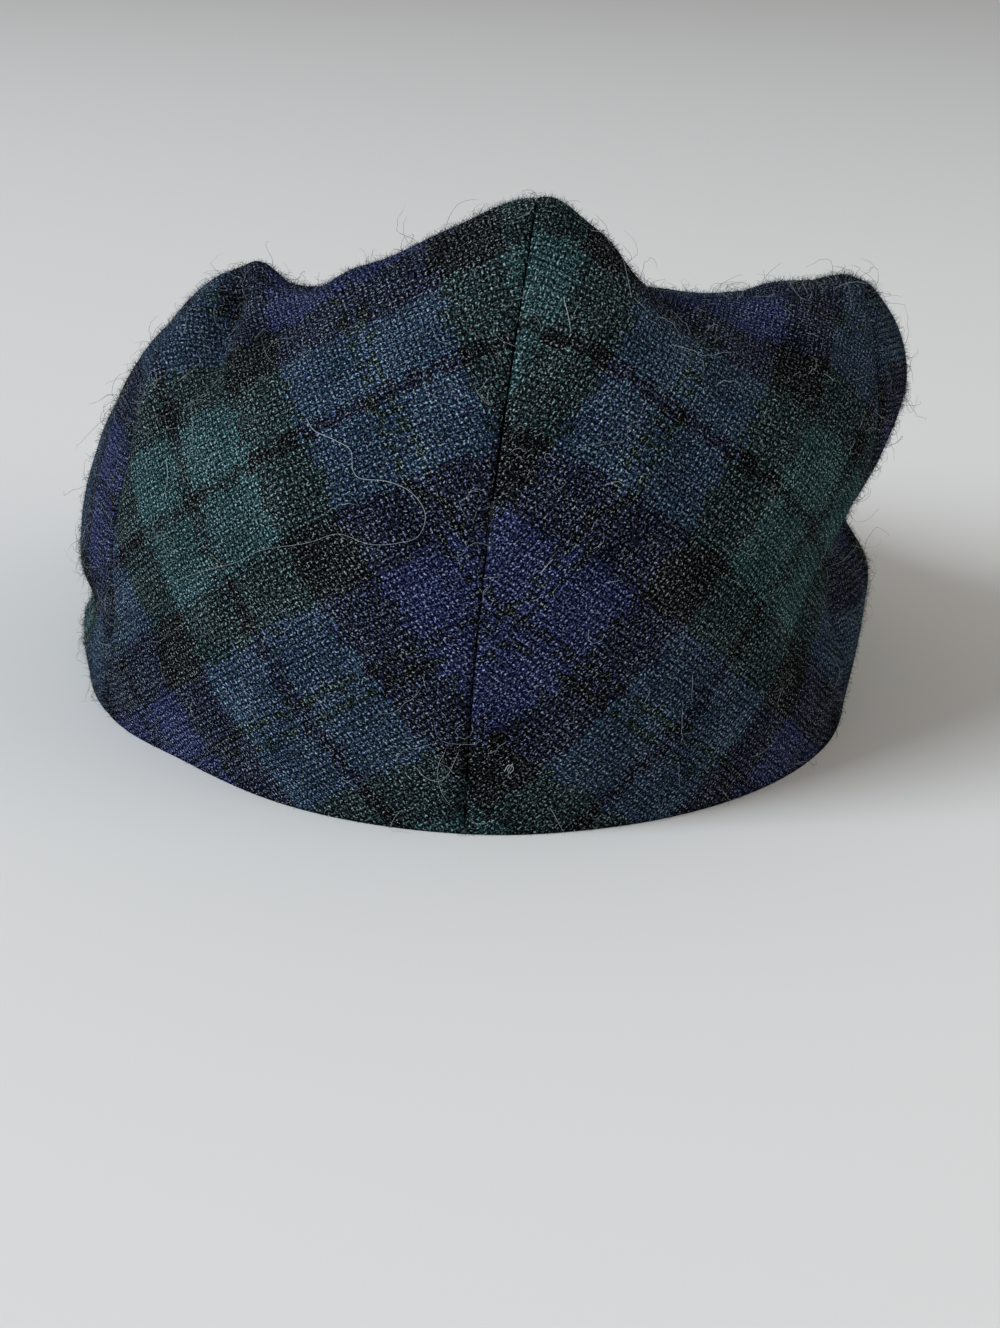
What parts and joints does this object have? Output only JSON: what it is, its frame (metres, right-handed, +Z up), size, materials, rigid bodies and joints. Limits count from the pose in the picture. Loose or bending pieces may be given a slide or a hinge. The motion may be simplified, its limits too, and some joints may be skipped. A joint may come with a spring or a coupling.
{
  "type": "flat cap",
  "caption": "Soft slouched flat cap in dark blue and green tartan wool, with a centre seam over the crown, side panels and a covered peak.",
  "frame": {"origin": "on the ground under the middle of the cap's length and width, in the plane of the hem", "axes": "+Z up; +Y to the back of the cap, so the peak points to -Y; +X to the wearer's left"},
  "size_m": [0.182, 0.259, 0.1119],
  "materials": {
    "tartan_wool": "matte, brushed woollen tweed"
  },
  "bodies": {
    "root": {"crown_left": "tartan_wool", "crown_right": "tartan_wool", "side_left": "tartan_wool", "side_right": "tartan_wool", "peak": "tartan_wool"}
  },
  "joints": []
}
